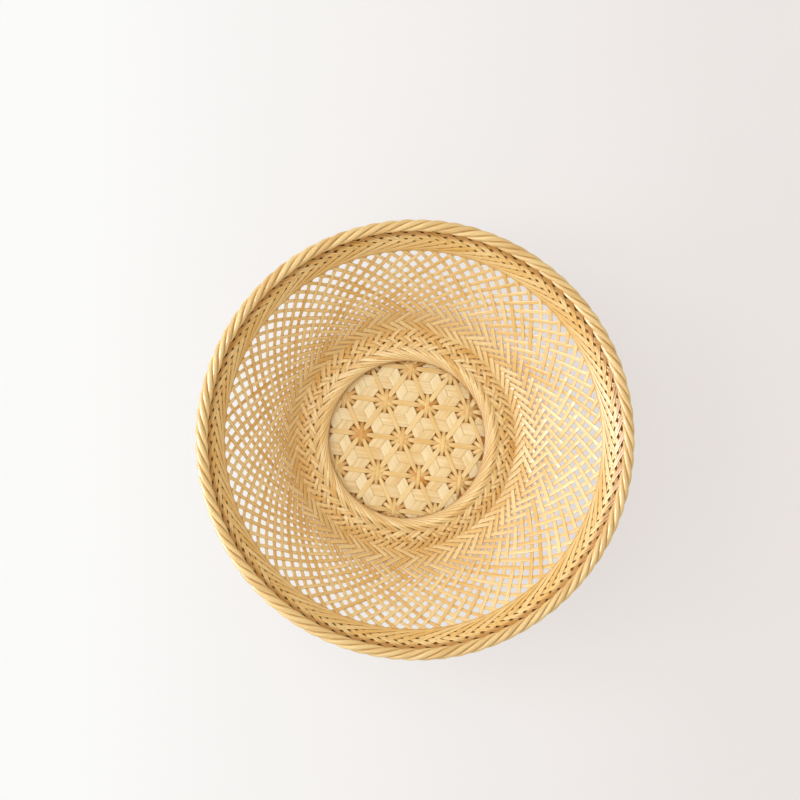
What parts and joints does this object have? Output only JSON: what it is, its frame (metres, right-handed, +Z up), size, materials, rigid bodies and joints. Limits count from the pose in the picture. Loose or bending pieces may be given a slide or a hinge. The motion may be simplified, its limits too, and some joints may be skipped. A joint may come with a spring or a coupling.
{
  "type": "bread basket",
  "caption": "Shallow round bread basket woven from split bamboo, with a twill wall, a roped rim and a star-patterned base panel under a round mouth.",
  "frame": {"origin": "centre of the foot ring, on the surface that the basket stands on", "axes": "+Z up along the bowl's axis; +X and +Y across the bowl, +Y towards the picture's upper edge"},
  "size_m": [0.26, 0.26, 0.078],
  "materials": {
    "wall_split": "satin",
    "rim_rope": "satin",
    "base_strip": "satin",
    "star_split": "satin",
    "star_ray": "satin"
  },
  "bodies": {
    "root": {"split_pair_01": "wall_split", "split_pair_02": "wall_split", "split_pair_03": "wall_split", "split_pair_04": "wall_split", "split_pair_05": "wall_split", "split_pair_06": "wall_split", "split_pair_07": "wall_split", "split_pair_08": "wall_split", "split_pair_09": "wall_split", "split_pair_10": "wall_split", "split_pair_11": "wall_split", "split_pair_12": "wall_split", "split_pair_13": "wall_split", "split_pair_14": "wall_split", "split_pair_15": "wall_split", "split_pair_16": "wall_split", "split_pair_17": "wall_split", "split_pair_18": "wall_split", "split_pair_19": "wall_split", "split_pair_20": "wall_split", "split_pair_21": "wall_split", "split_pair_22": "wall_split", "split_pair_23": "wall_split", "split_pair_24": "wall_split", "split_pair_25": "wall_split", "split_pair_26": "wall_split", "split_pair_27": "wall_split", "split_pair_28": "wall_split", "split_pair_29": "wall_split", "split_pair_30": "wall_split", "split_pair_31": "wall_split", "split_pair_32": "wall_split", "split_pair_33": "wall_split", "split_pair_34": "wall_split", "split_pair_35": "wall_split", "split_pair_36": "wall_split", "split_pair_37": "wall_split", "split_pair_38": "wall_split", "split_pair_39": "wall_split", "split_pair_40": "wall_split", "rope_rim": "rim_rope", "base_strip_a1": "base_strip", "base_strip_a2": "base_strip", "base_strip_a3": "base_strip", "base_strip_a4": "base_strip", "base_strip_b1": "base_strip", "base_strip_b2": "base_strip", "base_strip_b3": "base_strip", "base_strip_b4": "base_strip", "base_strip_c1": "base_strip", "base_strip_c2": "base_strip", "base_strip_c3": "base_strip", "base_strip_c4": "base_strip", "star_splits_over": "star_split", "star_splits_under": "star_ray"}
  },
  "joints": []
}
